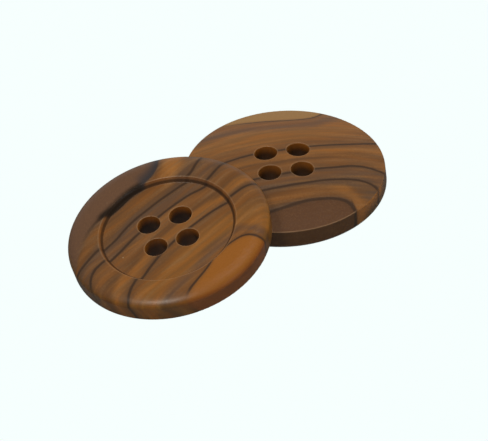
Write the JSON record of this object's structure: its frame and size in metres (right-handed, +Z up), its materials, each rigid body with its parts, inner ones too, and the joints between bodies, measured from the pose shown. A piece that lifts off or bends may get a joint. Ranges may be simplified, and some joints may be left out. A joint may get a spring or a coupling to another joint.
{
  "type": "sew-on button",
  "caption": "Matching flat sew-on coat buttons with a broad rounded rim, dished centre, thread holes and domed back, in satin wood-look plastic, one leaning on the other.",
  "frame": {"origin": "on the surface that the pair lies on, under the middle of its bounding box", "axes": "+Z up, along the axis of the button that lies back up; +X to the right and +Y away, with the leaning face-up button at the low-X, low-Y side"},
  "size_m": [0.0362, 0.035, 0.0072],
  "materials": {
    "wood_look_back_up": "satin",
    "wood_look_face_up": "satin"
  },
  "bodies": {
    "lower_button": {"button_back_up": "wood_look_back_up"},
    "upper_button": {"button_face_up": "wood_look_face_up"}
  },
  "joints": [
    {"name": "lift_off", "type": "slide", "parent": "lower_button", "child": "upper_button", "axis": [0, 0, 1], "range_m": [0, 0.02]}
  ]
}
